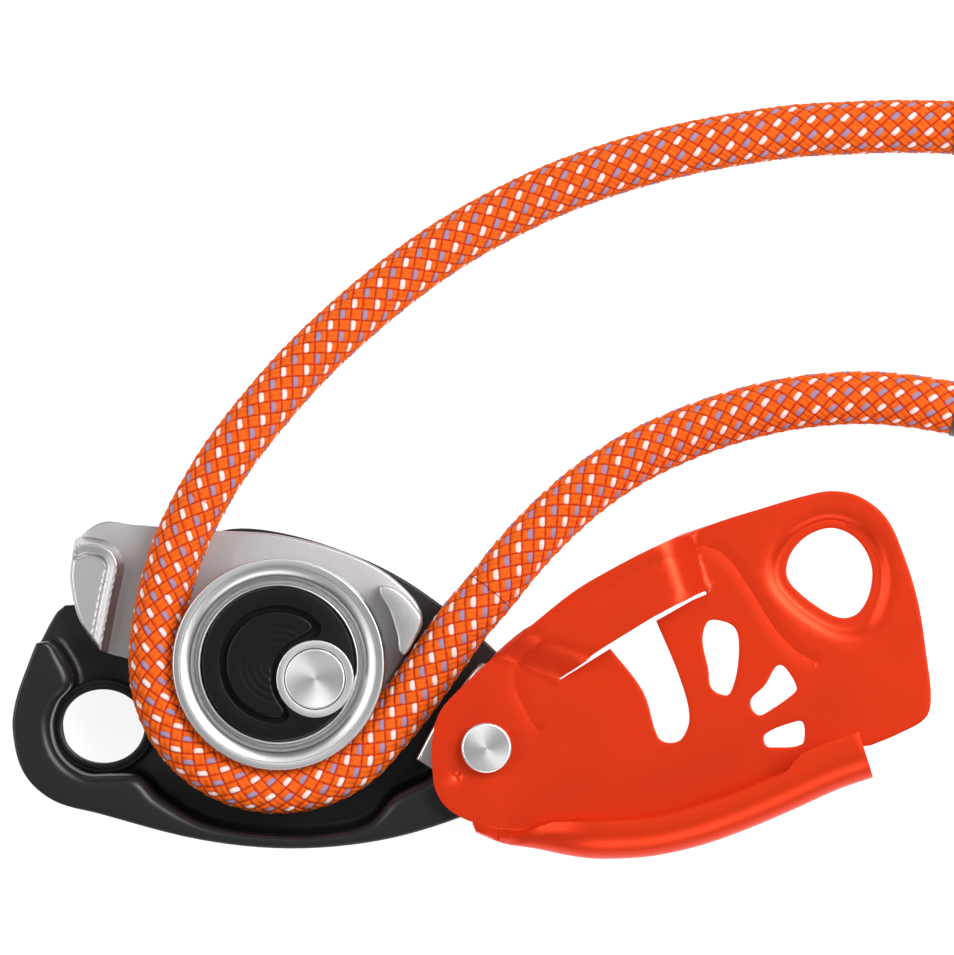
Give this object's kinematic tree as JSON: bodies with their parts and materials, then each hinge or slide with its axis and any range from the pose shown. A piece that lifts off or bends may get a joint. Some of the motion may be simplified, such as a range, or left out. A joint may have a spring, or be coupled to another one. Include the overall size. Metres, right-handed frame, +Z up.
{
  "type": "rope descender",
  "caption": "Cam-braking rope descender lying open: forged side plate, cam with a free-running wheel, swinging side plate with a rolled lip, back handle, and rope threaded round the wheel.",
  "frame": {"origin": "on the surface the device lies on, under the middle of its box, rope strands left out", "axes": "+X from the carabiner eye of the fixed side plate towards the far end of the opened side plate; +Z up, out of the swinging plate's outer face; every joint axis is parallel to Z"},
  "size_m": [0.1734, 0.1351, 0.0359],
  "materials": {
    "black_alloy": "satin",
    "orange_alloy": "satin",
    "polished_steel": "polished",
    "brushed_steel": "brushed",
    "steel": "satin",
    "spring_steel": "satin",
    "grey_alloy": "satin",
    "bronze": "satin",
    "black_plastic": "matte",
    "nylon": "matte",
    "rope_braid": "matte"
  },
  "bodies": {
    "body": {"fixed_side_plate": "black_alloy", "friction_plate": "brushed_steel", "friction_plate_screw_1": "steel", "friction_plate_screw_2": "steel", "hinge_rivet": "polished_steel", "hinge_back_washer": "steel", "hinge_washer": "nylon", "cam_axle": "polished_steel", "cam_axle_collar": "polished_steel", "cam_axle_nut": "steel", "cam_return_spring": "spring_steel", "handle_return_spring": "spring_steel", "rope_wrap": "rope_braid", "rope_climber_strand": "rope_braid", "rope_brake_strand": "rope_braid"},
    "side_plate": {"moving_side_plate": "orange_alloy", "hinge_bush": "bronze"},
    "cam": {"cam_plate": "brushed_steel", "cam_hub": "grey_alloy", "hub_cover": "black_plastic", "cam_bush": "bronze", "bearing_inner_race": "steel", "cam_hub_screw_1": "steel", "cam_hub_screw_2": "steel"},
    "wheel": {"rope_wheel": "polished_steel", "bearing_outer_race": "steel"},
    "ball_cage": {"bearing_cage": "nylon", "bearing_ball_01": "steel", "bearing_ball_02": "steel", "bearing_ball_03": "steel", "bearing_ball_04": "steel", "bearing_ball_05": "steel", "bearing_ball_06": "steel", "bearing_ball_07": "steel", "bearing_ball_08": "steel", "bearing_ball_09": "steel", "bearing_ball_10": "steel", "bearing_ball_11": "steel", "bearing_ball_12": "steel"},
    "handle": {"handle_lever": "black_plastic", "handle_drive_plate": "steel", "handle_drive_pin": "steel"}
  },
  "joints": [
    {"name": "side_plate_hinge", "type": "hinge", "parent": "body", "child": "side_plate", "pos_m": [0.00273, -0.01307, 0.0263], "axis": [0, 0, 1], "range_deg": [0, 150.4]},
    {"name": "cam_pivot", "type": "hinge", "parent": "body", "child": "cam", "pos_m": [-0.02767, -0.00097, 0.013], "axis": [0, 0, 1], "range_deg": [-12, 0], "stiffness_Nm_per_rad": 0.05, "springref_deg": 2.86, "deforming": ["rope_wrap", "cam_return_spring"]},
    {"name": "wheel_spin", "type": "hinge", "parent": "cam", "child": "wheel", "pos_m": [-0.03417, 0.00163, 0.0195], "axis": [0, 0, 1], "continuous": true},
    {"name": "cage_roll", "type": "hinge", "parent": "cam", "child": "ball_cage", "pos_m": [-0.03417, 0.00163, 0.0195], "axis": [0, 0, 1], "continuous": true},
    {"name": "handle_pull", "type": "hinge", "parent": "body", "child": "handle", "pos_m": [-0.02767, -0.00097, 0.003], "axis": [0, 0, 1], "range_deg": [0, 95], "stiffness_Nm_per_rad": 0.03, "springref_deg": -11.46, "deforming": ["handle_return_spring"]}
  ],
  "couplings": [
    {"joint": "cage_roll", "follows": "wheel_spin", "ratio": 0.527}
  ]
}
